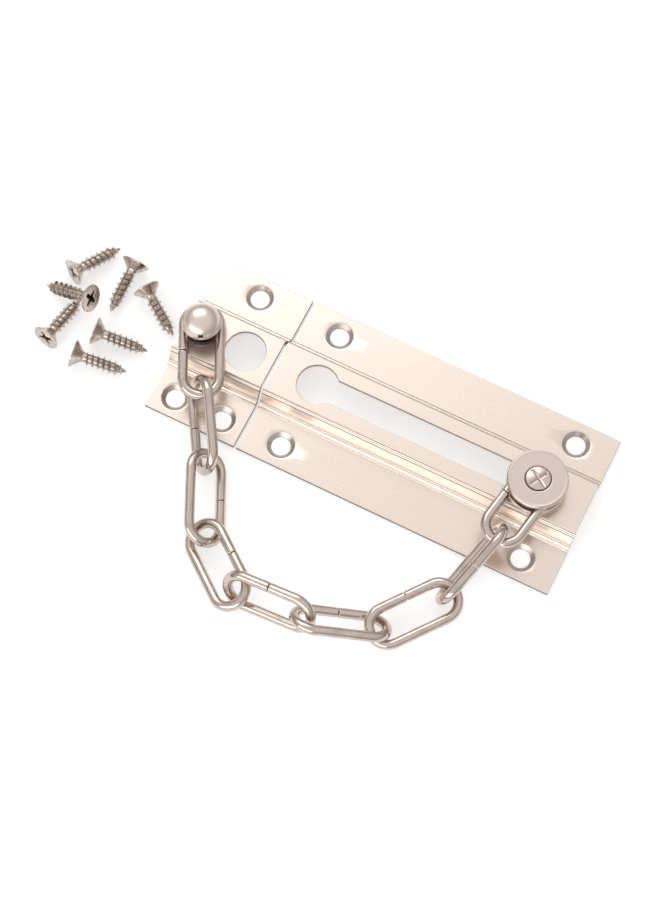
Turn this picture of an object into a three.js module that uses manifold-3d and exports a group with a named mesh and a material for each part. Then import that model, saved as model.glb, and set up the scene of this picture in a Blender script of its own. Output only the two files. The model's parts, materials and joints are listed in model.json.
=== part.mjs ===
// Door chain guard: a slide plate for the door, a keep plate for the frame, nine steel links, a spool
// button that runs in the slide plate's slot, and seven countersunk fixing screws lying loose beside it.
// Millimetres, +Z up, everything lies on z = 0. X runs along the plates, Y across them.
// While it is being built, x = 0 is the slide plate's left end and y = 0 the plates' near long edge.

import * as THREE from 'three';
import { mergeVertices } from 'three/addons/utils/BufferGeometryUtils.js';
import Module from 'manifold-3d';

// Driving dimensions, plates
const slideLength = 80;
const keepLength = 23.5;
const plateWidth = 41.6;
const plateGap = 0.7;
const sheet = 1;
const trackTop = 6.4;
const trackWidth = 13;
const wallRun = 2.8;
const centreY = plateWidth / 2;
const keepX = -plateGap - keepLength;

// Driving dimensions, holes and slot
const slotWidth = 6.2;
const roundHole = 10;
const keyholeX = 11;
const slotEndX = 67.6;
const parkingX = -8;
const screwHole = 4.6;
const screwSink = 6.6;

// Driving dimensions, fixed post and sliding button
const postX = -19.3;
const neckDiameter = 5.2;
const tailDiameter = 7.6;
const tailBottom = 2.9;
const domeDiameter = 9.3;
const domeRim = 11.6;
const domeTop = 15.8;
const buttonX = 67.2;
const discDiameter = 14.3;
const discUnderside = 10.3;
const discTop = 11.6;
const collarTop = 7.5;
const footDiameter = 9.2;
const footThickness = 1.6;
const rivetHole = 4.6;
const rivetShank = 4;
const rivetHead = 5.5;
const fitGap = 0.3;

// Driving dimensions, chain
const wire = 2.4;
const linkLength = 24;
const linkWidth = 11;
const buttGap = 0.16;

// Driving dimensions, screws
const screwLength = 13.6;
const screwHead = 6.8;
const headHeight = 2.3;
const coreDiameter = 2.3;
const threadDiameter = 3.5;
const threadPitch = 1.4;
const pointLength = 3;

// Where each link lies, from the post to the button: its middle, the way its length points seen from
// above, how much that end rises, how far its left side is tipped up, and the side its joint is on.
// Angles are in degrees.
const linkPoses = [
  { at: [-16.8, 15.6, 8.1], heading: -64, lift: -3, roll: -2, joint: 'right' },
  { at: [-8.5, 0, 6], heading: -58, lift: -8, roll: 62, joint: 'right' },
  { at: [0, -15, 4], heading: -64, lift: 0, roll: -38, joint: 'left' },
  { at: [10, -28, 4], heading: -38, lift: 8, roll: 24, joint: 'left' },
  { at: [25, -31.5, 7.5], heading: 0, lift: 12, roll: 62, joint: 'left' },
  { at: [41.5, -28.5, 6.5], heading: 24, lift: -16, roll: -42, joint: 'left' },
  { at: [55, -18.5, 4], heading: 52, lift: 2, roll: 10, joint: 'left' },
  { at: [62, -3, 7], heading: 74, lift: 14, roll: -70, joint: 'right' },
  { at: [66, 14.5, 9], heading: 80, lift: 0, roll: 0, joint: 'left' },
];

// Where each loose screw lies: the middle of its head's face, the way its point looks, its own turn
// about its length and, for the one that leans on another, how far it falls along the length and how
// far its head is raised. The rest lie on their heads' rims, half a head above the table.
const lyingHeight = screwHead / 2 + 0.05;
const lyingFall = 9;
const screwPoses = [
  { at: [-55.2, 21.6], heading: 60, turn: 20 },
  { at: [-47.188, 16.8], heading: 180, turn: 10, fall: 20, rise: 2.3 },
  { at: [-52.7, 3.7], heading: 81, turn: 30 },
  { at: [-42.8, 30.7], heading: -90, turn: 0 },
  { at: [-37.4, 25.9], heading: -34, turn: 15 },
  { at: [-43.2, 10.6], heading: 7, turn: 40 },
  { at: [-45, 3.2], heading: 9, turn: 5 },
];

const wasm = await Module();
wasm.setup();

function material(color, roughness, metalness = 1) {
  return new THREE.MeshStandardMaterial({ color, roughness, metalness });
}

const satinNickel = () => material(0xcbbcb2, 0.42);
const polishedNickel = () => material(0xb9ada6, 0.2);
const screwNickel = () => material(0xa89a92, 0.3);

// Booleans between closed three.js geometries

function solidOf(geometry) {
  const plain = geometry.clone();
  plain.deleteAttribute('normal');
  plain.deleteAttribute('uv');
  const merged = mergeVertices(plain, 1e-4);
  return new wasm.Manifold(new wasm.Mesh({
    numProp: 3,
    vertProperties: new Float32Array(merged.attributes.position.array),
    triVerts: new Uint32Array(merged.index.array),
  }));
}

function geometryOf(solid) {
  const mesh = solid.getMesh();
  const geometry = new THREE.BufferGeometry();
  geometry.setAttribute('position', new THREE.BufferAttribute(new Float32Array(mesh.vertProperties), 3));
  geometry.setIndex(new THREE.BufferAttribute(new Uint32Array(mesh.triVerts), 1));
  geometry.computeVertexNormals();
  return geometry;
}

function cut(geometry, cutters) {
  let solid = solidOf(geometry);
  for (const cutter of cutters) solid = solid.subtract(solidOf(cutter));
  return geometryOf(solid);
}

// A turned piece about the Z axis: the outline is [radius, height] pairs, from the axis to the axis
function turned(outline, segments) {
  const profile = outline.map(([radius, height]) => new THREE.Vector2(radius, height));
  const geometry = new THREE.LatheGeometry(profile, segments);
  geometry.rotateX(Math.PI / 2);
  return geometry;
}

function cylinder(diameter, bottom, top, segments) {
  const radius = diameter / 2;
  return turned([[0, bottom], [radius, bottom], [radius, top], [0, top]], segments);
}

// A turned ring about the Z axis: the outline closes on itself
function ring(inner, outer, bottom, top, chamfer, segments) {
  const outline = [
    [inner / 2, bottom],
    [outer / 2 - chamfer, bottom],
    [outer / 2, bottom + chamfer],
    [outer / 2, top - chamfer],
    [outer / 2 - chamfer, top],
    [inner / 2, top],
    [inner / 2, bottom],
  ];
  return turned(outline, segments);
}

// Pressed plates

// The near half of the outer face across the plate, from the long edge to the middle: a flat flange,
// a low bead at the foot, a hollow face, a narrow ledge and the raised track. [distance in, height]
function nearFace() {
  const foot = (plateWidth - trackWidth) / 2 - wallRun;
  const rise = trackTop - sheet;
  return [
    [0, sheet],
    [foot - 0.2, sheet],
    [foot, sheet + 0.12 * rise],
    [foot + 0.14 * wallRun, sheet + 0.2 * rise],
    [foot + 0.32 * wallRun, sheet + 0.22 * rise],
    [foot + 0.36 * wallRun, sheet + 0.3 * rise],
    [foot + 0.5 * wallRun, sheet + 0.5 * rise],
    [foot + 0.72 * wallRun, sheet + 0.74 * rise],
    [foot + 0.76 * wallRun, sheet + 0.84 * rise],
    [foot + 0.95 * wallRun, sheet + 0.88 * rise],
    [foot + wallRun, trackTop],
  ];
}

// The hollow underneath: the same walls one sheet further in
function hollowFace() {
  const foot = (plateWidth - trackWidth) / 2 - wallRun + sheet;
  return [
    [foot, 0],
    [foot + 0.4, 0.18 * trackTop],
    [foot + wallRun - 0.2, trackTop - sheet],
  ];
}

function plateSection() {
  const near = nearFace();
  const hollow = hollowFace();
  const far = (points) => points.map(([y, z]) => [plateWidth - y, z]).reverse();
  const top = [[0, 0], ...near, ...far(near), [plateWidth, 0]];
  const outline = [...top, ...far(hollow).reverse(), ...hollow.reverse()];
  return new THREE.Shape(outline.map(([y, z]) => new THREE.Vector2(y, z)));
}

// The section lies across the plate and is drawn out along +X
function pressedPlate(startX, length) {
  const geometry = new THREE.ExtrudeGeometry(plateSection(), { depth: length, bevelEnabled: false });
  const alongX = new THREE.Matrix4().makeBasis(
    new THREE.Vector3(0, 1, 0),
    new THREE.Vector3(0, 0, 1),
    new THREE.Vector3(1, 0, 0),
  );
  return geometry.applyMatrix4(alongX).translate(startX, 0, 0);
}

function countersunkCutter(x, y) {
  const sinkDepth = 0.8;
  const outline = [
    [0, -1],
    [screwHole / 2, -1],
    [screwHole / 2, sheet - sinkDepth],
    [screwSink / 2, sheet],
    [screwSink / 2, sheet + 1],
    [0, sheet + 1],
  ];
  return turned(outline, 28).translate(x, y, 0);
}

function roundCutter(x) {
  return cylinder(roundHole, 2, trackTop + 2, 40).translate(x, centreY, 0);
}

// A straight slot with one round end, from the keyhole's middle to the stop end
function slotCutter() {
  const half = slotWidth / 2;
  const shape = new THREE.Shape();
  shape.moveTo(keyholeX, -half);
  shape.lineTo(slotEndX, -half);
  shape.absarc(slotEndX, 0, half, -Math.PI / 2, Math.PI / 2, false);
  shape.lineTo(keyholeX, half);
  shape.closePath();
  const settings = { depth: trackTop, bevelEnabled: false, curveSegments: 12 };
  const geometry = new THREE.ExtrudeGeometry(shape, settings);
  return geometry.translate(0, centreY, 2);
}

function slidePlate() {
  const inX = 9.1;
  const inY = 5.3;
  const cutters = [roundCutter(keyholeX), slotCutter()];
  for (const x of [inX, slideLength - inX]) {
    for (const y of [inY, plateWidth - inY]) cutters.push(countersunkCutter(x, y));
  }
  return cut(pressedPlate(0, slideLength), cutters);
}

function keepPlate() {
  const inY = 4.9;
  const middleX = keepX + keepLength / 2;
  const holeSpread = 6.2;
  const shankHole = cylinder(neckDiameter + 2 * fitGap, 2, trackTop + 2, 24).translate(postX, centreY, 0);
  return cut(pressedPlate(keepX, keepLength), [
    roundCutter(parkingX),
    shankHole,
    countersunkCutter(middleX, plateWidth - inY),
    countersunkCutter(middleX - holeSpread, inY),
    countersunkCutter(middleX + holeSpread, inY),
  ]);
}

// Fixed post: one turned piece with a domed head, a neck and a tail spread under the track

function domedPost() {
  const underTrack = trackTop - sheet - fitGap;
  const tail = tailDiameter / 2;
  const neck = neckDiameter / 2;
  const radius = domeDiameter / 2;
  const lip = 0.5;
  const outline = [[0, tailBottom], [tail - 0.4, tailBottom], [tail, tailBottom + lip], [tail, underTrack]];
  outline.push([neck, underTrack], [neck, domeRim + lip], [radius - lip, domeRim], [radius, domeRim + lip]);
  const steps = 7;
  for (let i = 1; i < steps; i += 1) {
    const angle = (i / steps) * (Math.PI / 2);
    outline.push([radius * Math.cos(angle), domeRim + lip + (domeTop - domeRim - lip) * Math.sin(angle)]);
  }
  outline.push([0, domeTop]);
  return cut(turned(outline, 32), [markNotch()]);
}

// A small upright slot punched in the head, on the side that the chain leaves by
function markNotch() {
  const width = 1.2;
  const depth = 2.2;
  const height = 2;
  const rise = 2;
  const notch = new THREE.BoxGeometry(width, depth, height);
  const toChain = THREE.MathUtils.degToRad(linkPoses[0].heading);
  notch.rotateZ(toChain + Math.PI / 2);
  const out = domeDiameter / 2;
  return notch.translate(out * Math.cos(toChain), out * Math.sin(toChain), domeRim + rise);
}

// A washer under the post's neck spreads the load on the track
function postWasher() {
  const clear = 0.1;
  const thickness = 0.4;
  const bottom = trackTop + clear;
  return ring(neckDiameter + 2 * fitGap, tailDiameter, bottom, bottom + thickness, 0.1, 28);
}

// Sliding button: top disc, spool with a lower collar, foot under the track, and the rivet through them

function buttonDisc() {
  const outer = discDiameter / 2;
  const bore = rivetHole / 2;
  const chamfer = 0.4;
  const faceDrop = 0.05;
  const seat = rivetHead / 2 + 0.15;
  const seatDepth = 0.4;
  const outline = [
    [bore, discUnderside],
    [outer - chamfer, discUnderside],
    [outer, discUnderside + chamfer],
    [outer, discTop - chamfer],
    [outer - chamfer, discTop],
    [outer - 2 * chamfer, discTop - faceDrop],
    [seat + 0.2, discTop - faceDrop],
    [seat, discTop - seatDepth],
    [bore, discTop - seatDepth],
    [bore, discUnderside],
  ];
  return turned(outline, 48);
}

// The collar rides on the track; the neck above it is the part that the last link goes round
function buttonSpool() {
  const bore = rivetHole / 2;
  const collar = discDiameter / 2 - 0.05;
  const neck = neckDiameter / 2 + 0.3;
  const bottom = trackTop + 0.15;
  const top = discUnderside - 0.1;
  const outline = [
    [bore, bottom],
    [collar - 0.3, bottom],
    [collar, bottom + 0.35],
    [collar - 0.2, collarTop],
    [neck, collarTop],
    [neck, top],
    [bore, top],
    [bore, bottom],
  ];
  return turned(outline, 40);
}

function buttonFoot() {
  const top = trackTop - sheet - fitGap;
  return ring(rivetHole, footDiameter, top - footThickness, top, 0.3, 32);
}

function buttonRivet() {
  const shank = rivetShank / 2;
  const head = rivetHead / 2;
  const tail = 3;
  const tailTop = trackTop - sheet - fitGap - footThickness - 0.2;
  const headBottom = discTop - 0.3;
  const crown = discTop + 0.45;
  const outline = [
    [0, tailTop - 0.7],
    [tail - 0.4, tailTop - 0.7],
    [tail, tailTop - 0.3],
    [tail, tailTop],
    [shank, tailTop],
    [shank, headBottom],
    [head, headBottom],
    [head, crown - 0.35],
    [head - 0.45, crown - 0.1],
    [0, crown],
  ];
  const crossTurn = 0.25;
  const arms = [-1, 1].map((side) => {
    const arm = new THREE.BoxGeometry(2 * rivetHead, 0.45, 0.5);
    return arm.rotateZ(side * Math.PI / 4 + crossTurn).translate(0, 0, crown + 0.05);
  });
  return cut(turned(outline, 32), arms);
}

// Chain links: one length of wire bent to a long ring, its ends meeting in a fine butt joint mid-side

class LinkPath extends THREE.Curve {
  getPoint(t, target = new THREE.Vector3()) {
    const radius = (linkWidth - wire) / 2;
    const straight = linkLength - linkWidth;
    const bend = Math.PI * radius;
    const total = 2 * (straight + bend);
    let s = buttGap / 2 + t * (total - buttGap);
    if (s < straight / 2) return target.set(s, -radius, 0);
    s -= straight / 2;
    if (s < bend) {
      const angle = s / radius - Math.PI / 2;
      return target.set(straight / 2 + radius * Math.cos(angle), radius * Math.sin(angle), 0);
    }
    s -= bend;
    if (s < straight) return target.set(straight / 2 - s, radius, 0);
    s -= straight;
    if (s < bend) {
      const angle = s / radius + Math.PI / 2;
      return target.set(-straight / 2 + radius * Math.cos(angle), radius * Math.sin(angle), 0);
    }
    s -= bend;
    return target.set(-straight / 2 + s, -radius, 0);
  }
}

function linkGeometry() {
  const sides = 10;
  const steps = 28;
  const section = new THREE.Shape();
  for (let i = 0; i < sides; i += 1) {
    const angle = (2 * Math.PI * i) / sides;
    const x = (wire / 2) * Math.cos(angle);
    const y = (wire / 2) * Math.sin(angle);
    if (i === 0) section.moveTo(x, y);
    else section.lineTo(x, y);
  }
  section.closePath();
  return new THREE.ExtrudeGeometry(section, { steps, extrudePath: new LinkPath(), bevelEnabled: false });
}

// The link's length becomes the heading and its joint is on its right side (-Y), so half a turn about
// its length brings the joint to the left
function poseLink(mesh, { at, heading, lift, roll, joint }) {
  const turn = THREE.MathUtils.degToRad;
  const flip = joint === 'left' ? 180 : 0;
  mesh.position.set(...at);
  mesh.rotation.order = 'ZYX';
  mesh.rotation.set(turn(roll + flip), turn(-lift), turn(heading));
}

// Screws: countersunk head with a cross recess, thread ridges all the way and a gimlet point.
// The head's face is at z = 0 and the point looks along -Z before it is laid down.

function screwGeometry() {
  const core = coreDiameter / 2;
  const crest = threadDiameter / 2;
  const outline = [[0, 0], [screwHead / 2 - 0.15, 0], [screwHead / 2, -0.2], [core + 0.1, -headHeight]];
  const threadEnd = screwLength - 0.5;
  const crossWidth = 3.9;
  const crossArm = 0.75;
  const crossDepth = 1.1;
  for (let depth = headHeight + 0.5; depth < threadEnd; depth += threadPitch) {
    const taper = Math.min(1, (screwLength - depth) / pointLength);
    outline.push([core * taper, -depth]);
    outline.push([crest * Math.min(1, taper + 0.1), -(depth + threadPitch * 0.45)]);
  }
  outline.push([0, -screwLength]);
  const cross = [0, Math.PI / 2].map((angle) => {
    return new THREE.BoxGeometry(crossWidth, crossArm, 2 * crossDepth).rotateZ(angle);
  });
  return cut(turned(outline.reverse(), 14), cross);
}

function poseScrew(mesh, { at, heading, turn, fall = lyingFall, rise = 0 }) {
  const radians = THREE.MathUtils.degToRad;
  mesh.position.set(at[0], at[1], lyingHeight + rise);
  mesh.rotation.order = 'ZYX';
  mesh.rotation.set(0, radians(-90 + fall), radians(heading));
  mesh.rotateZ(radians(turn));
}

// Scene graph

function named(name, geometry, surface) {
  const mesh = new THREE.Mesh(geometry, surface);
  mesh.name = name;
  return mesh;
}

function turnedAt(name, geometry, surface, x) {
  const mesh = named(name, geometry, surface);
  mesh.position.set(x, centreY, 0);
  return mesh;
}

function plates() {
  const group = new THREE.Group();
  group.add(named('slide_plate', slidePlate(), satinNickel()));
  group.add(named('keep_plate', keepPlate(), satinNickel()));
  return group;
}

function post() {
  const group = new THREE.Group();
  group.add(turnedAt('post_stud', domedPost(), polishedNickel(), postX));
  group.add(turnedAt('post_washer', postWasher(), polishedNickel(), postX));
  return group;
}

function button() {
  const group = new THREE.Group();
  group.add(turnedAt('button_disc', buttonDisc(), satinNickel(), buttonX));
  group.add(turnedAt('button_spool', buttonSpool(), polishedNickel(), buttonX));
  group.add(turnedAt('button_foot', buttonFoot(), satinNickel(), buttonX));
  group.add(turnedAt('button_rivet', buttonRivet(), satinNickel(), buttonX));
  return group;
}

function chain() {
  const group = new THREE.Group();
  linkPoses.forEach((pose, index) => {
    const link = named(`link_${index + 1}`, linkGeometry(), polishedNickel());
    poseLink(link, pose);
    group.add(link);
  });
  return group;
}

function looseScrews() {
  const group = new THREE.Group();
  screwPoses.forEach((pose, index) => {
    const screw = named(`screw_${index + 1}`, screwGeometry(), screwNickel());
    poseScrew(screw, pose);
    group.add(screw);
  });
  return group;
}

// The finished set stands with the middle of its outer box at x = 0, y = 0 and its lowest point at z = 0
const set = new THREE.Group();
set.add(plates(), post(), button(), chain(), looseScrews());
set.updateMatrixWorld(true);
const box = new THREE.Box3().setFromObject(set, true);
const middle = box.getCenter(new THREE.Vector3());
set.position.set(-middle.x, -middle.y, -box.min.z);

export default set;
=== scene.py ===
# Door chain guard on a white table: two pressed plates, a domed post, nine links, a sliding button and
# seven loose screws. Shapes are worked out in millimetres from the slide plate's near left corner, then put
# where the frame has them.
import json
import bmesh
import bpy
import numpy as np
from math import atan2, cos, pi, radians, sin, sqrt
from mathutils import Matrix, Vector
from mathutils.geometry import delaunay_2d_cdt


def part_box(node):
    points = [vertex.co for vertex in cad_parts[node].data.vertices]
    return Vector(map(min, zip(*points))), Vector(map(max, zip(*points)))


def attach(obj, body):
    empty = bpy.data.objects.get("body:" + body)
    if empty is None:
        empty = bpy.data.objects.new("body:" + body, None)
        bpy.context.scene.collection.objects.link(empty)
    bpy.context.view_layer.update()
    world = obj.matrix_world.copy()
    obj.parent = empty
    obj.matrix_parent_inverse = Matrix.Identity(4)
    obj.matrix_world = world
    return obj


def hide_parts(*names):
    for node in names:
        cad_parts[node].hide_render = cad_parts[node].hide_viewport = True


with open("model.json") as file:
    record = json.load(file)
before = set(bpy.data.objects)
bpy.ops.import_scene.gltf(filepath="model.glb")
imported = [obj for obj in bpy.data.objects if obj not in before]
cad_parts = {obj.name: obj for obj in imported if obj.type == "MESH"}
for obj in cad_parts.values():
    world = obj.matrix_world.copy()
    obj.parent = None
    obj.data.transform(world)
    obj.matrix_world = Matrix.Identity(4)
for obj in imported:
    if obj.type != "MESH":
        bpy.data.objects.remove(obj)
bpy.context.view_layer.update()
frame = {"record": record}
plateCorner = np.array(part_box("slide_plate")[0])
bodies = frame["record"]["behaviour"]["bodies"]
bodyOf = {node: body for body, nodes in bodies.items() for node in nodes}


# A shader socket that can be used in sums
class Wire:
    def __init__(self, bench, socket):
        self.bench, self.socket = bench, socket

    def sums(self, operation, first, second):
        return self.bench.wire("ShaderNodeMath", {"operation": operation}, {0: first, 1: second})

    def __add__(self, other): return self.sums("ADD", self, other)
    def __radd__(self, other): return self.sums("ADD", other, self)
    def __sub__(self, other): return self.sums("SUBTRACT", self, other)
    def __rsub__(self, other): return self.sums("SUBTRACT", other, self)
    def __mul__(self, other): return self.sums("MULTIPLY", self, other)
    def __rmul__(self, other): return self.sums("MULTIPLY", other, self)

    def between(self, low, high):  # 0 below low, 1 above high, straight in between
        values = {"Value": self, "From Min": low, "From Max": high}
        return self.bench.wire("ShaderNodeMapRange", {"clamp": True}, values)


# Adds nodes to one tree and joins them up
class Bench:
    def __init__(self, tree):
        self.tree = tree

    def add(self, kind, settings=None, values=None):
        node = self.tree.nodes.new(kind)
        for key, value in (settings or {}).items():
            setattr(node, key, value)
        for key, value in (values or {}).items():
            if isinstance(value, Wire):
                value = value.socket
            if isinstance(value, bpy.types.NodeSocket):
                self.tree.links.new(value, node.inputs[key])
            else:
                node.inputs[key].default_value = value
        return node

    def wire(self, kind, settings=None, values=None, output=0):
        return Wire(self, self.add(kind, settings, values).outputs[output])

    def scaled(self, place, scale):  # the place multiplied by a scale for each axis
        return self.add("ShaderNodeMapping", None, {"Vector": place, "Scale": scale}).outputs[0]

    def noise(self, scale, detail=3, roughness=0.5, place=None):  # scale is one number, or one for each axis
        if place is None:
            place = self.add("ShaderNodeTexCoord").outputs["Object"]
        vector = self.scaled(place, scale if isinstance(scale, tuple) else (scale, scale, scale))
        values = {"Vector": vector, "Scale": 1.0, "Detail": detail, "Roughness": roughness}
        return self.wire("ShaderNodeTexNoise", None, values)

    def cut(self):  # the mesh's mark for painted shade, 0 to 1: press lines, sheared edges, recesses and parts under others
        return self.wire("ShaderNodeAttribute", {"attribute_name": "cut"}, None, 2)

    def tint(self, amount, first, second):  # first colour at 0, second at 1
        first, second = [(*c, 1) if isinstance(c, tuple) else c for c in (first, second)]
        values = {0: amount, 6: first, 7: second}
        return self.add("ShaderNodeMix", {"data_type": "RGBA"}, values).outputs[2]

    def bump(self, surface, strength, distance, height):
        values = {"Strength": strength, "Distance": distance, "Height": height}
        setOn(surface, "Normal", self.wire("ShaderNodeBump", None, values))


def setOn(surface, socket, value):
    source = value.socket if isinstance(value, Wire) else value
    surface.id_data.links.new(source, surface.inputs[socket])


# A metal whose build function fills in colour, roughness and relief
def metal(name, build):
    material = bpy.data.materials.new(name)
    material.use_nodes = True
    tree = material.node_tree
    tree.nodes.clear()
    bench = Bench(tree)
    surface = bench.add("ShaderNodeBsdfPrincipled", None, {"Metallic": 1.0})
    build(bench, surface)
    out = bench.add("ShaderNodeOutputMaterial")
    tree.links.new(surface.outputs[0], out.inputs["Surface"])
    return material


satinValues = {
    "pale": (0.86, 0.75, 0.68), "deep": (0.74, 0.635, 0.565), "cut": (0.07, 0.056, 0.05),
    "shine": 0.27, "streaks": 0.12, "relief": 0.10,
    "grain": (60, 3600, 3600), "bands": (18, 150, 150), "clouds": 34, "specks": 900,
}


# Satin plate: long fine scratches along X over soft clouds. Paleness falls with 0.55 of the grain, 0.25 of
# the wide bands and 0.3 of the clouds; roughness = shine + streaks * grain, with a tenth of the clouds and
# of the painted shade and some specks. Press lines, sheared edges and countersinks are painted near-black
# as painted shade where the mesh marks it; on the sheared edges this lies over the bare cut metal
def satinPlate(bench, surface):
    v = satinValues
    grain = bench.noise(v["grain"], 4, 0.62)
    bands = bench.noise(v["bands"], 2)
    clouds = bench.noise(v["clouds"])
    specks = bench.noise(v["specks"], 2).between(0.66, 0.78)
    cut = bench.cut()
    face = bench.tint(0.55 * grain + 0.25 * bands + 0.3 * clouds - 0.05, v["pale"], v["deep"])
    # Painted shade: the colour goes to near-black where the mesh marks it
    setOn(surface, "Base Color", bench.tint(cut * (0.75 + 0.25 * clouds), face, v["cut"]))
    rough = v["shine"] + v["streaks"] * (grain - 0.4) + 0.1 * (clouds - 0.5)
    setOn(surface, "Roughness", rough + 0.08 * specks + 0.1 * cut)
    bench.bump(surface, v["relief"], 0.00003, grain + 0.5 * bands)


linkValues = {
    "pale": (0.66, 0.57, 0.515), "deep": (0.40, 0.33, 0.285), "shine": 0.13, "relief": 0.12,
    "lines": (1.2, 14, 1), "rubs": 260, "pits": 1500,
}


# Bright wire: nearly a mirror, with lines drawn along the wire (the map's V goes round it) and rubbed
# patches. Paleness falls with 0.35 of the lines and 0.45 of the rubs; roughness = shine + 0.12 of each
def brightWire(bench, surface):
    v = linkValues
    along = bench.add("ShaderNodeUVMap", {"uv_map": "wire"}).outputs[0]
    lines = bench.noise(v["lines"], 4, 0.6, along)
    rubs = bench.noise(v["rubs"]).between(0.45, 0.75)
    pits = bench.noise(v["pits"], 2)
    setOn(surface, "Base Color", bench.tint(0.35 * lines + 0.45 * rubs, v["pale"], v["deep"]))
    setOn(surface, "Roughness", v["shine"] + 0.12 * (lines - 0.4) + 0.12 * rubs)
    bench.bump(surface, v["relief"], 0.00006, lines + 0.25 * pits)


domeValues = {
    "pale": (0.80, 0.70, 0.635), "deep": (0.62, 0.53, 0.475), "cut": (0.07, 0.056, 0.048),
    "shine": 0.33, "relief": 0.08, "rings": (40, 40, 2600), "clouds": 330,
}


# Turned and buffed post: rings round the Z axis show as faint changes with height, over soft clouds.
# Paleness falls with 0.4 of the rings and half the clouds, and where the mesh marks painted shade (the
# mark's recess, under the rim, the washer) the colour is painted near-black
def buffedPost(bench, surface):
    v = domeValues
    rings = bench.noise(v["rings"])
    clouds = bench.noise(v["clouds"])
    face = bench.tint(0.4 * rings + 0.5 * clouds - 0.1, v["pale"], v["deep"])
    setOn(surface, "Base Color", bench.tint(bench.cut(), face, v["cut"]))
    setOn(surface, "Roughness", v["shine"] + 0.08 * (rings - 0.5) + 0.1 * (clouds - 0.5))
    bench.bump(surface, v["relief"], 0.00003, rings + 0.4 * clouds)


discValues = {
    "pale": (0.72, 0.62, 0.565), "deep": (0.56, 0.475, 0.425),
    "shine": 0.27, "relief": 0.12, "grain": (220, 3400, 3400), "clouds": 300,
}


# Satin disc: short scratches along X over soft clouds, half of each in the colour
def satinDisc(bench, surface):
    v = discValues
    grain = bench.noise(v["grain"], 4, 0.62)
    clouds = bench.noise(v["clouds"])
    setOn(surface, "Base Color", bench.tint(0.5 * grain + 0.5 * clouds - 0.1, v["pale"], v["deep"]))
    setOn(surface, "Roughness", v["shine"] + 0.14 * (grain - 0.4) + 0.1 * (clouds - 0.5))
    bench.bump(surface, v["relief"], 0.00003, grain + 0.3 * clouds)


screwValues = {
    "pale": (0.68, 0.595, 0.535), "deep": (0.36, 0.285, 0.235), "cut": (0.05, 0.036, 0.03),
    "shine": 0.2, "relief": 0.2, "clouds": 700, "pits": 3200,
}


# Plated screw: the plating is duller, darker and rougher in patches of 0.6 clouds + 0.4 pits, and the
# cross and the thread's roots are painted near-black as painted shade where the mesh marks it
def platedScrew(bench, surface):
    v = screwValues
    clouds = bench.noise(v["clouds"])
    pits = bench.noise(v["pits"])
    dull = (0.6 * clouds + 0.4 * pits).between(0.42, 0.68)
    face = bench.tint(dull, v["pale"], v["deep"])
    setOn(surface, "Base Color", bench.tint(bench.cut(), face, v["cut"]))
    setOn(surface, "Roughness", v["shine"] + 0.16 * dull + 0.1 * (pits - 0.5))
    bench.bump(surface, v["relief"], 0.00005, pits + 0.5 * clouds)


plateMetal = metal("satin_nickel_plate", satinPlate)
wireMetal = metal("bright_nickel_wire", brightWire)
postMetal = metal("buffed_nickel_post", buffedPost)
discMetal = metal("satin_nickel_disc", satinDisc)
screwMetal = metal("plated_screw", platedScrew)
print("finishes made:", len(bpy.data.materials))


creaseAngle = radians(48)  # edges sharper than this stay sharp


# The faces of a grid of points with rows along u and columns along v. A wrapped grid joins its last line
# to its first
def gridFaces(rows, columns, wrapRows=False, wrapColumns=False, start=0):
    u = np.arange(rows if wrapRows else rows - 1)
    v = np.arange(columns if wrapColumns else columns - 1)
    a, b = np.meshgrid(u, v, indexing="ij")
    nextA, nextB = (a + 1) % rows, (b + 1) % columns
    corners = [a * columns + b, nextA * columns + b, nextA * columns + nextB, a * columns + nextB]
    return start + np.stack(corners, -1).reshape(-1, 4)


# Fills a flat loop that lies across X with triangles, however it bends
def lidFaces(loop, start):
    flat = [Vector(point) for point in loop[:, 1:]]
    edges = [(i, (i + 1) % len(flat)) for i in range(len(flat))]
    points, _, triangles, sources, _, _ = delaunay_2d_cdt(flat, edges, [], 1, 1e-7)
    order = [sources[i][0] for i in range(len(points))]
    return [[start + order[i] for i in face] for face in triangles]
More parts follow.
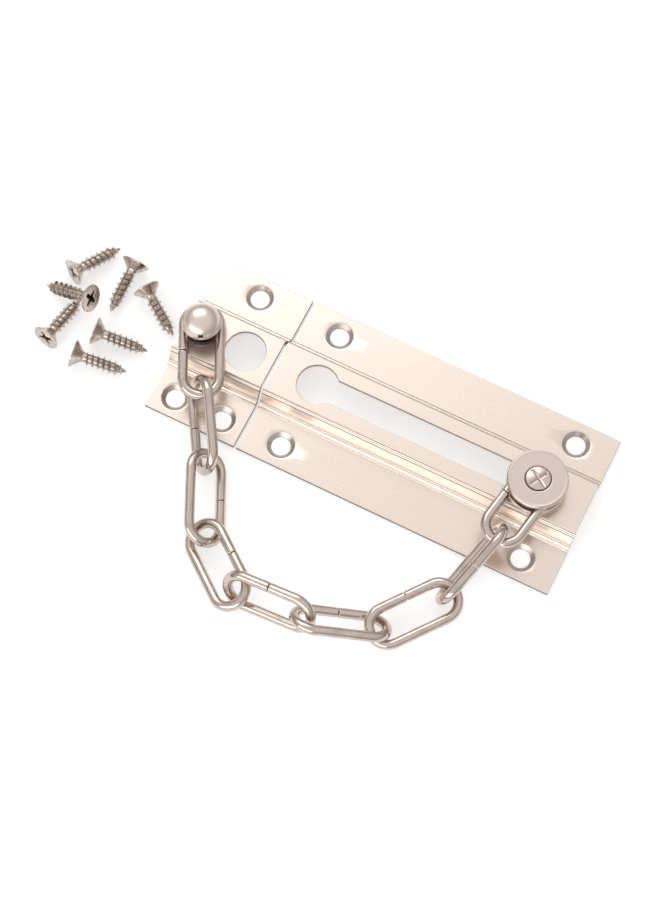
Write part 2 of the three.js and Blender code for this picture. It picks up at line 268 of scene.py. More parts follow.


# Puts grids into one closed mesh and hands it to the frame in place of a node's solid. Each grid is
# (points, wrapRows, wrapColumns, keptFaces or None), lids are flat loops of points, uv is a map for each
# point, and the last argument marks painted shade from 0 to 1
def makePiece(name, node, grids, material, lids=(), uv=None, cut=None):
    body = bodyOf[node]
    points, faces, count = [], [], 0
    for grid, wrapRows, wrapColumns, kept in grids:
        made = gridFaces(grid.shape[0], grid.shape[1], wrapRows, wrapColumns, count)
        points.append(grid.reshape(-1, 3))
        faces += (made if kept is None else made[kept]).tolist()
        count += len(points[-1])
    for loop in lids:
        points.append(loop)
        faces += lidFaces(loop, count)
        count += len(loop)
    places = plateCorner + 0.001 * np.concatenate(points)
    mesh = bpy.data.meshes.new(name)
    mesh.from_pydata(places, [], faces)
    if uv is not None:
        layer = mesh.uv_layers.new(name="wire")
        corner = np.empty(len(mesh.loops), dtype=np.int32)
        mesh.loops.foreach_get("vertex_index", corner)
        layer.data.foreach_set("uv", uv[corner].astype(np.float32).ravel())
    if cut is not None:
        mesh.attributes.new("cut", "FLOAT", "POINT").data.foreach_set("value", np.ravel(cut))
    shape = bmesh.new()
    shape.from_mesh(mesh)
    bmesh.ops.remove_doubles(shape, verts=shape.verts, dist=1e-6)
    bmesh.ops.delete(shape, geom=[v for v in shape.verts if not v.link_faces], context="VERTS")
    bmesh.ops.recalc_face_normals(shape, faces=shape.faces)
    shape.to_mesh(mesh)
    openEdges = sum(not e.is_manifold for e in shape.edges)
    shape.free()
    mesh.shade_smooth()
    mesh.set_sharp_from_angle(angle=creaseAngle)
    mesh.materials.append(material)
    piece = bpy.data.objects.new(name, mesh)
    bpy.context.collection.objects.link(piece)
    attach(piece, body)
    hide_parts(node)
    low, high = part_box(node)
    mine = np.array([places.min(0), places.max(0)])
    over = 1000 * np.max([np.array(low) - mine[0], mine[1] - np.array(high)])
    print(f"  {name}: {len(mesh.polygons)} faces, {openEdges} open edges, {over:.2f} mm outside its solid")
    return piece


# Rounds a chain of corners: corner + (1 - t)^2 * back + t^2 * forward, with one more point just past each
# end. Back and forward reach along the two sides by the radius, or 0.38 of a short side
def rounded(corners, radius, steps=4, closed=False):
    corners = np.asarray(corners, float)
    before, after = np.roll(corners, 1, 0) - corners, np.roll(corners, -1, 0) - corners
    bent = np.abs(before[:, 0] * after[:, 1] - before[:, 1] * after[:, 0])[:, None] > 1e-6
    lengths = [np.linalg.norm(side, axis=1)[:, None] for side in (before, after)]
    back, forward = (
        side / length * np.minimum(radius * bent, 0.38 * length)
        for side, length in zip((before, after), lengths)
    )
    t = np.linspace(0, 1, steps)[None, :, None]
    curve = corners[:, None] + (1 - t) ** 2 * back[:, None] + t ** 2 * forward[:, None]
    curve = np.concatenate([(corners + 1.25 * back)[:, None], curve, (corners + 1.25 * forward)[:, None]], 1)
    if closed:
        return curve.reshape(-1, 2)
    return np.concatenate([corners[:1], curve[1:-1].reshape(-1, 2), corners[-1:]])


# A profile of (radius, height) carried once round an upright axis at (x, y): x + r cos a, y + r sin a, h
def turnedGrid(profile, centre, segments):
    angle = np.linspace(0, 2 * pi, segments, endpoint=False)[None]
    r, h = profile[:, 0][:, None], profile[:, 1][:, None]
    return np.stack([centre[0] + r * np.cos(angle), centre[1] + r * np.sin(angle), h + 0 * angle], -1)


# 3 x^2 - 2 x^3 between 0 and 1
def softStep(x):
    x = np.clip(x, 0, 1)
    return x * x * (3 - 2 * x)


# Lengths in millimetres. Places along X start from the slide plate's near left corner; keepSplitX divides
# the keep plate's track between its two holes, and the last two set the painted shade of press lines and
# sinks
plates = {
    "length": 80, "keepLength": 23.5, "width": 41.6, "gap": 0.7, "sheet": 1.0,
    "trackTop": 6.4, "trackWidth": 13, "wallRun": 2.8, "edge": 0.16, "endInset": 0.03,
    "slotWidth": 6.2, "roundHole": 10, "keyholeX": 11, "slotEndX": 67.6, "parkingX": -8,
    "screwHole": 4.6, "screwSink": 6.6, "sinkDepth": 0.8,
    "slideInX": 9.1, "slideInY": 5.3, "keepInY": 4.9, "keepSpread": 6.2, "keepSplitX": -14.8,
    "postX": -19.3, "postHole": 5.8, "pressLineShade": 0.8, "sinkShade": 0.4,
}
wallSteps = [  # the pressed wall from its foot, in parts of its run and its rise
    (0, 0), (0, 0.12), (0.14, 0.2), (0.32, 0.22), (0.36, 0.3),
    (0.5, 0.5), (0.72, 0.74), (0.76, 0.84), (0.95, 0.88), (1, 1),
]
middleY = plates["width"] / 2
keepX = -plates["gap"] - plates["keepLength"]
roofZ = plates["trackTop"] - plates["sheet"]


# Three points in between two places at one height
def between(start, stop, z):
    return [(start + (stop - start) * t, z) for t in (0.25, 0.5, 0.75)]


def mirrored(points):
    return [(plates["width"] - y, z) for y, z in points]


# The closed outline across a plate, in (y, z): over the near flange and the track to the far edge, and
# back underneath
def plateOutline():
    p = plates
    sheet, run, width = p["sheet"], p["wallRun"], p["width"]
    foot = middleY - p["trackWidth"] / 2 - run
    near = [(foot + along * run, sheet + up * roofZ) for along, up in wallSteps]
    near[0] = (foot - 0.2, sheet)
    inside = foot + sheet
    hollow = [(inside, 0), (inside + 0.4, 0.18 * p["trackTop"]), (inside + run - 0.2, roofZ)]
    flange = between(0, foot, sheet)
    track = between(near[-1][0], width - near[-1][0], p["trackTop"])
    under = between(0, hollow[0][0], 0)
    roof = between(hollow[-1][0], width - hollow[-1][0], roofZ)
    top = [(0, sheet)] + flange + near + track + mirrored(flange + near)[::-1] + [(width, sheet)]
    bottom = [(width, 0)] + mirrored(under + hollow) + roof[::-1] + (under + hollow)[::-1] + [(0, 0)]
    return top + bottom


# The edge of a round hole, met from each point of its cell's border at the same angle from the hole's middle
def roundEdge(centre, border, radius):
    angle = np.arctan2(border[:, 1] - centre[1], border[:, 0] - centre[0])
    return np.stack([centre[0] + radius * np.cos(angle), centre[1] + radius * np.sin(angle)], -1)


# The keyhole's edge: round the big hole by angle, straight along the slot at the same x, and round its
# far end by angle
def keyholeEdge(border, grow):
    p = plates
    big, half = p["roundHole"] / 2 + grow, p["slotWidth"] / 2 + grow
    joinX = p["keyholeX"] + sqrt(big ** 2 - half ** 2)
    side = np.where(border[:, 1] > middleY, 1, -1)
    left = roundEdge((p["keyholeX"], middleY), border, big)
    right = roundEdge((p["slotEndX"], middleY), border, half)
    part = np.clip((border[:, 0] - p["keyholeX"]) / (joinX - p["keyholeX"]), 0, 1)
    angle = pi / 2 + part * (atan2(half, joinX - p["keyholeX"]) - pi / 2)
    shoulder = np.stack([p["keyholeX"] + big * np.cos(angle), middleY + side * big * np.sin(angle)], -1)
    straight = np.stack([border[:, 0], middleY + side * half], -1)
    x = border[:, :1]
    slot = np.where(x < p["slotEndX"], straight, right)
    return np.where(x < p["keyholeX"], left, np.where(x < joinX, shoulder, slot))


# Walks round a cell: along its near side, up its right, back along its far side, down its left
def cellBorder(xs, ys):
    near = np.stack([xs, np.full_like(xs, ys[0])], -1)
    right = np.stack([np.full_like(ys, xs[-1]), ys], -1)[1:]
    far = np.stack([xs, np.full_like(xs, ys[-1])], -1)[::-1][1:]
    left = np.stack([np.full_like(ys, xs[0]), ys], -1)[::-1][1:-1]
    return np.concatenate([near, right, far, left])


# A countersunk hole's rings: radius and height from the soft rim, down the cone and the short bore
def sunkSteps(zTop, zBottom, soft):
    sink, bore = plates["screwSink"] / 2, plates["screwHole"] / 2
    deep = zTop - plates["sinkDepth"]
    cone = [(sink + soft, zTop), (sink + 0.4 * soft, zTop - 0.02), (sink - 0.6 * soft, zTop - 0.1)]
    throat = [(bore + 0.12, deep + 0.06), (bore + 0.02, deep - 0.02), (bore, deep - 0.06)]
    return cone + throat + [(bore, zBottom + 0.02), (bore + 0.02, zBottom)]


# A punched hole's rings: growth of the radius and height, over a soft rim and straight down
def punchedSteps(zTop, zBottom, soft):
    rim = [(1.3 * soft, zTop), (soft, zTop), (0.3 * soft, zTop - 0.3 * soft)]
    return rim + [(0, zTop - soft), (0, zTop - 1.3 * soft), (0, zBottom)]


# One cell of flat sheet with a hole through it: loops from the top border into the hole, down, and out to
# the bottom border
def holedCell(xs, ysTop, ysBottom, zTop, zBottom, hole):
    soft = 0.1
    top, bottom = cellBorder(xs, ysTop), cellBorder(xs, ysBottom)
    if hole["kind"] == "sunk":
        rings = [(roundEdge(hole["at"], top, radius), z) for radius, z in sunkSteps(zTop, zBottom, soft)]
    elif hole["kind"] == "keyhole":
        rings = [(keyholeEdge(top, grow), z) for grow, z in punchedSteps(zTop, zBottom, soft)]
    else:
        at, radius = hole["at"], hole["radius"]
        rings = [(roundEdge(at, top, radius + grow), z) for grow, z in punchedSteps(zTop, zBottom, soft)]
    first = rings[0][0]
    flat = [(top + (first - top) * t, zTop) for t in (0, 0.015, 0.5, 0.85)]
    last = rings[-1][0]
    under = [(last + (bottom - last) * t, zBottom) for t in (0.5, 1)]
    loops = [np.column_stack([xy, np.full(len(xy), z)]) for xy, z in flat + rings + under]
    return np.stack(loops)


# Where the lines across a plate lie along X: even steps, and close ones round each hole
def plateLines(start, stop, holes):
    p = plates
    edge, step = p["edge"], 0.4
    first, last = start + edge, stop - edge
    xs = [np.linspace(first, last, 30), [start + 1.4 * edge, stop - 1.4 * edge]]
    for hole in holes:
        middle = hole["at"][0] if "at" in hole else p["keyholeX"]
        xs.append(middle + np.arange(-8, 8.01, step))
        xs.append([hole["from"], hole["to"]])
    xs.append(p["slotEndX"] + np.arange(-4, 12, step))
    xs = np.unique(np.round(np.concatenate(xs), 4))
    return xs[(xs >= first - 1e-6) & (xs <= last + 1e-6)]


# Which of the outline's steps run flat at one height between two places across
def flatBand(outline, level, nearSide, farSide):
    y, z = outline.T
    nextY, nextZ = np.roll(y, -1), np.roll(z, -1)
    flat = np.isclose(z, level) & np.isclose(nextZ, level)
    return flat & (np.minimum(y, nextY) >= nearSide) & (np.maximum(y, nextY) <= farSide)


# The steps of each flat's top and underside, by the flat's name
def plateBands(outline):
    p = plates
    sheet, width = p["sheet"], p["width"]
    return {
        "near": (flatBand(outline, sheet, 0, middleY), flatBand(outline, 0, 0, middleY)),
        "track": (flatBand(outline, p["trackTop"], 0, width), flatBand(outline, roofZ, 0, width)),
        "far": (flatBand(outline, sheet, middleY, width), flatBand(outline, 0, middleY, width)),
    }


# A rounded end: the outline pulled in by endInset * (1 - cos turn) as it moves by edge * (1 - sin turn)
def plateEnd(outline, x, way):
    travel = np.roll(outline, -1, 0) - np.roll(outline, 1, 0)
    travel /= np.linalg.norm(travel, axis=1)[:, None]
    outward = np.stack([-travel[:, 1], travel[:, 0]], -1)
    turn = np.array([0, 0.25, 0.5, 0.75, 1]) * pi / 2
    inset = outline[None] - outward[None] * (plates["endInset"] * (1 - np.cos(turn)))[:, None, None]
    atX = np.broadcast_to((x + way * plates["edge"] * (1 - np.sin(turn)))[:, None], inset.shape[:2])
    return np.concatenate([atX[..., None], inset], -1)


# A plate is its outline carried along X with the flats left out, a holed cell for each hole in each flat,
# and two rounded ends
def pressedPlate(name, node, startX, length, near, track, far):
    outline = rounded(plateOutline(), plates["edge"], 4, closed=True)
    outline = outline[np.linalg.norm(outline - np.roll(outline, 1, 0), axis=1) > 1e-5]
    xs = plateLines(startX, startX + length, near + track + far)
    bands = plateBands(outline)
    y, z = outline.T
    kept = np.ones(len(outline), bool)
    cells = []
    for key, holes in (("near", near), ("track", track), ("far", far)):
        upper, lower = bands[key]
        kept &= ~(upper | lower)
        ysTop, ysBottom = (
            np.unique(np.concatenate([y[band], np.roll(y, -1)[band]])) for band in (upper, lower)
        )
        for hole in holes:
            inside = xs[(xs >= hole["from"] - 1e-6) & (xs <= hole["to"] + 1e-6)]
            cell = holedCell(inside, ysTop, ysBottom, z[upper][0], z[lower][0], hole)
            cells.append((cell, False, True, None))
    skin = np.stack(np.broadcast_arrays(xs[:, None], y, z), -1)
    ends = [plateEnd(outline, startX, 1), plateEnd(outline, startX + length, -1)]
    grids = [(skin, False, True, np.tile(kept, len(xs) - 1))] + cells
    grids += [(end, False, True, None) for end in ends]
    piece = makePiece(name, node, grids, plateMetal, [end[-1] for end in ends])
    markPaintedShade(piece.data, [hole["at"] for hole in near + far])


# Marks painted shade: dark press lines where the walls stand steepest, the sheet's cut thickness (painted
# near-black over the bare sheared edge), and the countersinks
def markPaintedShade(mesh, sinks):
    p = plates
    count = len(mesh.vertices)
    normal, place = np.empty(3 * count), np.empty(3 * count)
    mesh.vertex_normals.foreach_get("vector", normal)
    mesh.vertices.foreach_get("co", place)
    up = np.abs(normal.reshape(-1, 3)[:, 2])
    x, y, z = (1000 * (place.reshape(-1, 3) - plateCorner)).T
    across = np.abs(y - middleY)
    onTrack = (z > roofZ + 0.02) & (z < roofZ + p["sheet"] - 0.02) & (across < p["trackWidth"] / 2 - 0.3)
    onFlange = (z > 0.02) & (z < p["sheet"] - 0.02) & (across > p["trackWidth"] / 2 + p["wallRun"] + 0.3)
    cut = np.maximum(p["pressLineShade"] * np.clip((0.36 - up) / 0.1, 0, 1), onTrack | onFlange)
    for holeX, holeY in sinks:
        away = np.hypot(x - holeX, y - holeY)
        inSink = (away < p["screwSink"] / 2 + 0.05) & (away > p["screwHole"] / 2 + 0.02)
        cut = np.where(inSink, p["sinkShade"] * onFlange, cut)
    mesh.attributes.new("cut", "FLOAT", "POINT").data.foreach_set("value", cut)


def sunk(x, y, start, stop):
    return {"kind": "sunk", "at": (x, y), "from": start, "to": stop}


def punched(x, diameter, start, stop):
    return {"kind": "round", "at": (x, middleY), "radius": diameter / 2, "from": start, "to": stop}


def makePlates():
    p = plates
    edge, length, width, inX = p["edge"], p["length"], p["width"], p["slideInX"]
    left, right, half = edge, length - edge, length / 2
    near, far = (
        [sunk(inX, y, left, half), sunk(length - inX, y, half, right)]
        for y in (p["slideInY"], width - p["slideInY"])
    )
    keyhole = [{"kind": "keyhole", "from": left, "to": right}]
    pressedPlate("slide_plate_fine", "slide_plate", 0, length, near, keyhole, far)
    left, right = keepX + edge, -p["gap"] - edge
    middle, spread, split = keepX + p["keepLength"] / 2, p["keepSpread"], p["keepSplitX"]
    inY, postX, parkingX = p["keepInY"], p["postX"], p["parkingX"]
    near = [sunk(middle - spread, inY, left, middle), sunk(middle + spread, inY, middle, right)]
    track = [punched(postX, p["postHole"], left, split), punched(parkingX, p["roundHole"], split, right)]
    far = [sunk(middle, width - inY, left, right)]
    pressedPlate("keep_plate_fine", "keep_plate", keepX, p["keepLength"], near, track, far)
    print("plates made")


makePlates()


post = {
    "neck": 5.2, "dome": 9.3, "rim": 11.6, "top": 15.8, "tail": 7.6, "tailBottom": 2.9, "lip": 0.5,
    "markWidth": 1.2, "markBottom": 12.6, "markTop": 14.6, "markDepth": 0.55, "markSoft": 0.14,
    "markSide": radians(-64), "underRimShade": 0.8,
}


# Post: a quarter ellipse over a short rim, radius = dome/2 * cos t and height = rim + lip + rest * sin t.
# The mark is pushed in by its depth where |angle - side| * dome/2 and the height both fall inside it,
# with soft steps at its border
def makePost():
    v = post
    neck, dome, lip = v["neck"] / 2, v["dome"] / 2, v["lip"]
    under = roofZ - 0.3
    tail, bottom, rim = v["tail"] / 2, v["tailBottom"], v["rim"]
    foot = [(0, bottom), (tail - 0.3, bottom), (tail, bottom + lip), (tail, under), (neck, under)]
    lower = rounded(foot + [(neck, rim + lip), (dome - lip, rim), (dome, rim + lip)], 0.25, 5)
    t = np.linspace(0, pi / 2, 60)[1:]
    cap = np.stack([dome * np.cos(t), rim + lip + (v["top"] - rim - lip) * np.sin(t)], -1)
    grid = turnedGrid(np.concatenate([lower, cap]), (0, 0), 320)
    angle = np.arctan2(grid[..., 1], grid[..., 0])
    radius = np.hypot(grid[..., 0], grid[..., 1])
    across = np.abs((angle - v["markSide"] + pi) % (2 * pi) - pi) * dome
    soft = v["markSoft"]
    mask = softStep((v["markWidth"] / 2 - across) / soft + 0.5)
    mask = mask * softStep((v["markTop"] - grid[..., 2]) / soft)
    mask = mask * softStep((grid[..., 2] - v["markBottom"]) / soft + 1) * (radius > dome - lip)
    shrink = 1 - mask * v["markDepth"] / np.maximum(radius, 1)
    grid[..., :2] *= shrink[..., None]
    grid[..., :2] += (plates["postX"], middleY)
    # Painted shade: the mark's recess, and the neck under the dome's rim, are painted dark
    cut = np.maximum(mask, v["underRimShade"] * softStep((rim + 0.3 - grid[..., 2]) / 0.3))
    makePiece("post_fine", "post_stud", [(grid, False, True, None)], postMetal, cut=cut)


washer = {"bore": 5.8, "outer": 7.6, "bottom": 6.5, "top": 6.9, "shade": 0.75}


# Washer: a rounded ring, four corners carried round the post, painted dark all over as painted shade under
# the dome
def makeWasher():
    v = washer
    inner, outer = v["bore"] / 2, v["outer"] / 2
    ring = [(inner, v["bottom"]), (outer, v["bottom"]), (outer, v["top"]), (inner, v["top"])]
    grid = turnedGrid(rounded(ring, 0.12, 5, closed=True), (plates["postX"], middleY), 128)
    cut = np.full(grid.shape[:2], v["shade"])
    makePiece("washer_fine", "post_washer", [(grid, True, True, None)], postMetal, cut=cut)


makePost()
makeWasher()
print("post made")


button = {
    "x": 67.2, "disc": 14.3, "under": 10.3, "top": 11.6, "collarTop": 7.5, "neck": 5.8,
    "foot": 9.2, "footThick": 1.6, "gap": 0.3, "bore": 4.6, "shank": 4.0, "tail": 6.0, "tailThick": 0.7,
    "head": 5.5, "crown": 12.05, "rise": 0.35, "crossTurn": 0.25, "crossDepth": 0.3, "crossHalf": 0.42,
}
buttonCentre = (button["x"], middleY)


# Carries a closed outline of (radius, height) corners round the button's axis
def makeRing(name, node, ring, radius, segments, material):
    grid = turnedGrid(rounded(ring, radius, 5, closed=True), buttonCentre, segments)
    makePiece(name, node, [(grid, True, True, None)], material)


# Disc: a chamfered washer with a sunk seat for the rivet
def makeDisc():
    v = button
    outer, bore, seat, under, top = v["disc"] / 2, v["bore"] / 2, v["head"] / 2 + 0.15, v["under"], v["top"]
    side = [(bore, under), (outer - 0.3, under), (outer, under + 0.3), (outer, top - 0.4)]
    face = [(outer - 0.35, top), (outer - 0.8, top - 0.04), (seat + 0.25, top - 0.05)]
    face += [(seat, top - 0.4), (bore, top - 0.4)]
    makeRing("disc_fine", "button_disc", side + face, 0.16, 200, discMetal)


# Spool: a collar below and a neck above
def makeSpool():
    v = button
    bore, collar, neck = v["bore"] / 2, v["disc"] / 2 - 0.05, v["neck"] / 2
    bottom, top, shoulder = plates["trackTop"] + 0.15, v["under"] - 0.1, v["collarTop"]
    low = [(bore, bottom), (collar - 0.3, bottom), (collar, bottom + 0.35), (collar - 0.2, shoulder)]
    high = [(neck, shoulder), (neck, top), (bore, top)]
    makeRing("spool_fine", "button_spool", low + high, 0.2, 160, postMetal)


# Foot: a flat ring under the track
def makeFoot():
    v = button
    inner, outer, top = v["bore"] / 2, v["foot"] / 2, roofZ - v["gap"]
    bottom = top - v["footThick"]
    ring = [(inner, bottom), (outer, bottom), (outer, top), (inner, top)]
    makeRing("foot_fine", "button_foot", ring, 0.3, 128, discMetal)


# Rivet: a turned head, crown height = crown - rise * (r / head)^2.4, that sinks along a cross by
# depth * (1 - d / half)^1.3 with d the distance to the nearer arm's middle line, and stands up in four
# low pads between the arms
def makeRivet():
    v = button
    shank, head, tail, top = v["shank"] / 2, v["head"] / 2, v["tail"] / 2, v["top"] - 0.3
    tailTop = roofZ - v["gap"] - v["footThick"] - 0.2
    bottom = tailTop - v["tailThick"]
    foot = [(0, bottom), (tail - 0.3, bottom), (tail, tailTop - 0.35), (tail, tailTop), (shank, tailTop)]
    side = rounded(foot + [(shank, top), (head, top), (head, v["crown"] - v["rise"])], 0.12, 4)
    t = np.linspace(0, 1, 70)[1:]
    crown = np.stack([head * (1 - t), v["crown"] - v["rise"] * (1 - t) ** 2.4], -1)
    grid = turnedGrid(np.concatenate([side, crown]), (0, 0), 256)
    x, y = grid[..., 0], grid[..., 1]
    radius = np.hypot(x, y)
    angle = np.arctan2(y, x) - v["crossTurn"] - pi / 4
    d = np.minimum(np.abs(radius * np.sin(angle)), np.abs(radius * np.cos(angle)))
    onCrown = grid[..., 2] > v["crown"] - v["rise"] - 0.01
    groove = v["crossDepth"] * np.clip(1 - d / v["crossHalf"], 0, 1) ** 1.3
    groove = groove * softStep((head - 0.12 - radius) / 0.3)
    pads = 0.1 * softStep(radius / 0.9) * softStep(d / 0.9)
    grid[..., 2] -= onCrown * (groove + 0.1 - pads)
    grid[..., 2] = np.where(onCrown, np.minimum(grid[..., 2], v["crown"]), grid[..., 2])
    grid[..., :2] += buttonCentre
    makePiece("rivet_fine", "button_rivet", [(grid, False, True, None)], discMetal)


makeDisc()
makeSpool()
makeFoot()
makeRivet()
print("button made")


chain = {"wire": 2.4, "length": 24, "width": 11, "joint": 0.16, "bevel": 0.22, "mapStep": 7.3}
links = [  # middle, heading, lift, roll, side of the joint
    ((-16.8, 15.6, 8.1), -64, -3, -2, "right"),
    ((-8.5, 0, 6), -58, -8, 62, "right"),
    ((0, -15, 4), -64, 0, -38, "left"),
    ((10, -28, 4), -38, 8, 24, "left"),
    ((25, -31.5, 7.5), 0, 12, 62, "left"),
    ((41.5, -28.5, 6.5), 24, -16, -42, "left"),
    ((55, -18.5, 4), 52, 2, 10, "left"),
    ((62, -3, 7), 74, 14, -70, "right"),
    ((66, 14.5, 9), 80, 0, 0, "left"),
]


# Link: a round wire carried along two straights and two half circles. Its radius falls to nothing at both
# ends of the wire, wire/2 - bevel * (1 - sqrt(1 - (1 - d/bevel)^2)) at a distance d under bevel from the end
def linkGrid():
    v = chain
    bendRadius = (v["width"] - v["wire"]) / 2
    straight = v["length"] - v["width"]
    bend = pi * bendRadius
    total = 2 * (straight + bend)
    first, last = v["joint"] / 2, total - v["joint"] / 2
    close = v["bevel"] * np.array([0, 0, 0.08, 0.25, 0.5, 0.75, 1, 1.3])
    s = np.concatenate([first + close, np.linspace(first + 0.6, last - 0.6, 220), (last - close)[::-1]])
    stops = [0, straight / 2, straight / 2 + bend, 1.5 * straight + bend, 1.5 * straight + 2 * bend, total]
    turn = np.interp(s, stops, [0, 0, pi, pi, 2 * pi, 2 * pi]) - pi / 2
    shift = np.interp(s, stops, [0, straight / 2, straight / 2, -straight / 2, -straight / 2, 0])
    out = np.stack([np.cos(turn), np.sin(turn), 0 * turn], -1)
    path = bendRadius * out
    path[:, 0] += shift
    d = np.minimum(s - first, last - s)
    inset = 1 - np.sqrt(np.clip(1 - (1 - np.clip(d / v["bevel"], 0, 1)) ** 2, 0, 1))
    radius = v["wire"] / 2 - v["bevel"] * inset
    radius[0] = radius[-1] = 0
    angle = np.linspace(0, 2 * pi, 36, endpoint=False)
    sides = out[:, None] * np.cos(angle)[None, :, None] + np.array([0, 0, 1]) * np.sin(angle)[None, :, None]
    uv = np.stack(np.broadcast_arrays(s[:, None] / v["wire"], angle[None] / (2 * pi)), -1).reshape(-1, 2)
    return path[:, None] + radius[:, None, None] * sides, uv


# Joins turns about axes, in degrees; the last one given acts first
def turned(*turns):
    spin = Matrix.Identity(3)
    for angle, axis in turns:
        spin = spin @ Matrix.Rotation(radians(angle), 3, axis)
    return np.array(spin)


def linkPlace(middle, heading, lift, roll, side):
    flip = 180 if side == "left" else 0
    return turned((heading, "Z"), (-lift, "Y"), (roll + flip, "X")), np.array(middle)


def makeChain():
    grid, uv = linkGrid()
    for number, pose in enumerate(links, 1):
        spin, middle = linkPlace(*pose)
        node = f"link_{number}"
        placed = grid @ spin.T + middle
        shifted = uv + chain["mapStep"] * number
        makePiece(f"{node}_fine", node, [(placed, False, True, None)], wireMetal, uv=shifted)
    print("chain made")


makeChain()


screws = {
    "length": 13.6, "head": 6.8, "headHeight": 2.3, "core": 2.3, "thread": 3.5, "pitch": 1.4, "point": 3.0,
    "crest": 0.21, "crossReach": 2.15, "crossHalf": 0.62, "crossCore": 0.72, "crossSoft": 0.24,
    "crossDepth": 1.2, "rootShade": 0.35,
}
screwPlaces = [  # middle of the head's face, heading of the point, own turn, fall
    ((-55.2, 21.6, 3.45), 60, 20, 9),
    ((-47.188, 16.8, 5.75), 180, 10, 20),
    ((-52.7, 3.7, 3.45), 81, 30, 9),
    ((-42.8, 30.7, 3.45), -90, 0, 9),
    ((-37.4, 25.9, 3.45), -34, 15, 9),
    ((-43.2, 10.6, 3.45), 7, 40, 9),
    ((-45, 3.2, 3.45), 9, 5, 9),
]


# Screw shank: radius = core + (crest - core) * ridge at each depth and angle. The ridge is a sharp tent once
# a turn, 1 - |phase - 1/2| / crest with phase the fraction of depth/pitch + angle/(2 pi), and both taper to
# the point
def shankGrid(neck, segments):
    v = screws
    angle = np.linspace(0, 2 * pi, segments, endpoint=False)
    core, outer = v["core"] / 2, v["thread"] / 2
    depth = np.concatenate([np.linspace(neck, v["length"] - 0.05, 270), [v["length"]]])
    toPoint = (v["length"] - depth) / v["point"]
    taper = np.clip(toPoint, 0, 1) ** 0.8
    phase = (depth[:, None] / v["pitch"] + angle[None] / (2 * pi)) % 1
    ridge = np.clip(1 - np.abs(phase - 0.5) / v["crest"], 0, 1)
    grown = softStep((depth - neck) / 1.2) * np.clip(toPoint * 1.25, 0, 1)
    radius = core * taper[:, None] + (outer - core) * grown[:, None] * ridge
    height = np.broadcast_to(-depth[:, None], radius.shape)
    shank = np.stack([radius * np.cos(angle), radius * np.sin(angle), height], -1)
    # The second result is painted shade in the thread's roots
    return shank, v["rootShade"] * (1 - ridge) * grown[:, None]


# Head face: flat with a cross pressed in, depth * soft step of the distance inside the cross, which is the
# nearer of two arms that narrow outwards and a round core
def faceGrid(rim, segments):
    v = screws
    flat = np.linspace(0, rim - 0.12, 70)
    face = turnedGrid(np.stack([flat, np.zeros(70)], -1), (0, 0), segments)
    x, y = np.abs(face[..., 0]), np.abs(face[..., 1])
    reach, half = v["crossReach"], v["crossHalf"]
    armX = np.maximum(x - reach, y - half * (1.1 - 0.2 * x))
    armY = np.maximum(y - reach, x - half * (1.1 - 0.2 * y))
    outside = np.minimum(np.minimum(armX, armY), np.hypot(x, y) - v["crossCore"])
    sink = softStep(-outside / v["crossSoft"])
    face[..., 2] -= v["crossDepth"] * sink * np.clip(1.15 - 0.25 * np.hypot(x, y), 0, 1)
    # The second result is painted shade in the cross recess
    return face, np.clip(1.6 * sink, 0, 1)


def screwGrid():
    v = screws
    segments, rim, core, headHeight = 64, v["head"] / 2, v["core"] / 2, v["headHeight"]
    neck = headHeight + 0.35
    side = [(rim - 0.12, 0.0), (rim, -0.08), (rim, -0.24), (core + 0.25, -headHeight + 0.1), (core, -neck)]
    cone = turnedGrid(rounded(side, 0.12, 4)[:-1], (0, 0), segments)[1:]
    face, faceShade = faceGrid(rim, segments)
    shank, shankShade = shankGrid(neck, segments)
    cut = np.concatenate([faceShade, np.zeros(cone.shape[:2]), shankShade])
    return np.concatenate([face, cone, shank]), cut


def makeScrews():
    grid, cut = screwGrid()
    for number, (at, heading, turn, fall) in enumerate(screwPlaces, 1):
        node = f"screw_{number}"
        placed = grid @ turned((heading, "Z"), (fall - 90, "Y"), (turn, "Z")).T + np.array(at)
        makePiece(f"{node}_fine", node, [(placed, False, True, None)], screwMetal, cut=cut)
    print("screws made")


makeScrews()


studio = {
    "tableSize": 6.0, "tableDrop": 0.00003, "table": (0.6, 0.6, 0.6), "tableGlow": 0.52,
    "skyTop": 0.9, "skyMiddle": 0.45, "skyLow": 0.03, "skyHeights": (0.03, 0.14, 0.8),
    "warm": (1.0, 0.985, 0.97),
}
softboxes = {  # where each hangs, its width and height in metres, its power in watts; both face the object
    "key": ((-0.7, 0.85, 1.2), (1.3, 0.9), 6.2),
    "front": ((-0.2, -1.25, 0.62), (1.8, 0.6), 9.0),
}


def makeTable():
    half = studio["tableSize"] / 2
    mesh = bpy.data.meshes.new("table")
    corners = [(-half, -half, 0), (half, -half, 0), (half, half, 0), (-half, half, 0)]
    mesh.from_pydata(corners, [], [(0, 1, 2, 3)])
    table = bpy.data.objects.new("table", mesh)
    table.location.z = -studio["tableDrop"]
    bpy.context.collection.objects.link(table)
    material = bpy.data.materials.new("white_table")
    material.use_nodes = True
    surface = material.node_tree.nodes["Principled BSDF"]
    surface.inputs["Base Color"].default_value = (*studio["table"], 1)
    surface.inputs["Roughness"].default_value = 0.9
    surface.inputs["Specular IOR Level"].default_value = 0.0
    surface.inputs["Emission Color"].default_value = (1, 1, 1, 1)
    surface.inputs["Emission Strength"].default_value = studio["tableGlow"]
    mesh.materials.append(material)


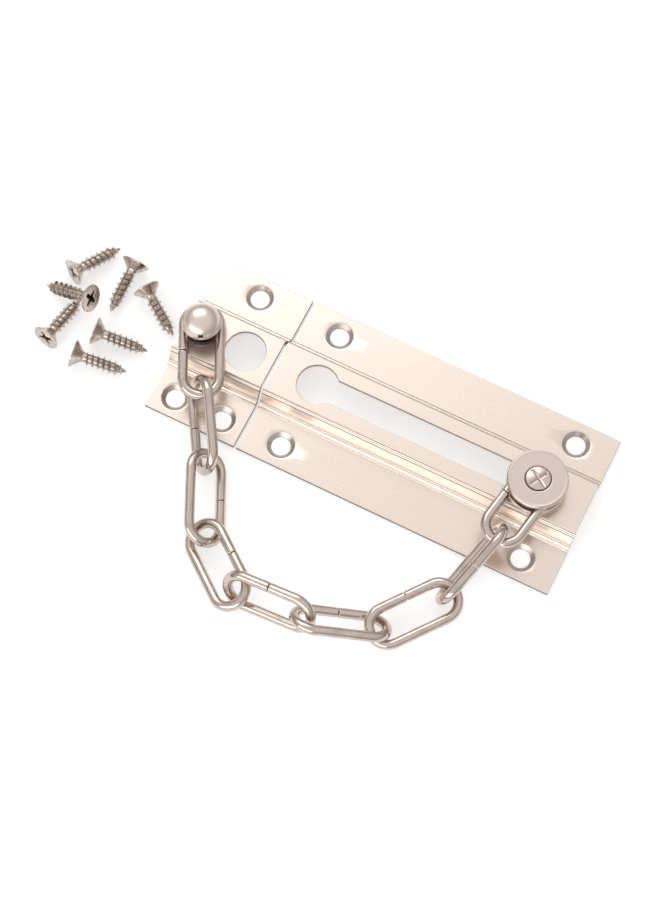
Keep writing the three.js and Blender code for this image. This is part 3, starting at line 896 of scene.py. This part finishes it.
# Sky: brightness by height of the direction, dark just above the table so that round metal gets its dark
# lines. It goes from low to middle between the first two heights, and on to top at the third
def makeSky():
    v = studio
    world = bpy.data.worlds.new("studio")
    bpy.context.scene.world = world
    world.use_nodes = True
    bench = Bench(world.node_tree)
    back = world.node_tree.nodes["Background"]
    place = bench.add("ShaderNodeTexCoord").outputs["Generated"]
    height = bench.wire("ShaderNodeSeparateXYZ", None, {0: place}, 2)
    first, second, third = v["skyHeights"]
    low, high = height.between(first, second), height.between(second, third)
    level = v["skyLow"] + (v["skyMiddle"] - v["skyLow"]) * low + (v["skyTop"] - v["skyMiddle"]) * high
    tint = bench.add("ShaderNodeVectorMath", {"operation": "SCALE"}, {0: v["warm"], "Scale": level})
    world.node_tree.links.new(tint.outputs[0], back.inputs["Color"])
    back.inputs["Strength"].default_value = 1.0


def makeSoftbox(name, at, size, power):
    data = bpy.data.lights.new(name, "AREA")
    data.shape, data.size, data.size_y, data.energy = "RECTANGLE", size[0], size[1], power
    lamp = bpy.data.objects.new(name, data)
    lamp.location = at
    lamp.rotation_euler = (-Vector(at)).to_track_quat("-Z", "Y").to_euler()
    bpy.context.collection.objects.link(lamp)


# Camera: stands off from its aim by distance * (sin a cos e, -cos a cos e, sin e)
view = {
    "azimuth": 26.51, "elevation": 69.59, "distance": 0.5068, "aim": (0.01980, 0.00965),
    "lens": 86.514, "sensor": 36,
}


def makeCamera():
    a, e = radians(view["azimuth"]), radians(view["elevation"])
    back = Vector((sin(a) * cos(e), -cos(a) * cos(e), sin(e)))
    aim = Vector(plateCorner.tolist()) + Vector((*view["aim"], 0))
    data = bpy.data.cameras.new("camera")
    data.lens, data.sensor_width, data.sensor_fit = view["lens"], view["sensor"], "AUTO"
    data.clip_start, data.clip_end = 0.01, 20
    camera = bpy.data.objects.new("camera", data)
    camera.location = aim + back * view["distance"]
    camera.rotation_euler = back.to_track_quat("Z", "Y").to_euler()
    bpy.context.collection.objects.link(camera)
    bpy.context.scene.camera = camera


makeTable()
makeSky()
for name, values in softboxes.items():
    makeSoftbox(name, *values)
makeCamera()
bpy.context.scene.view_settings.view_transform = "Standard"
print("studio made")
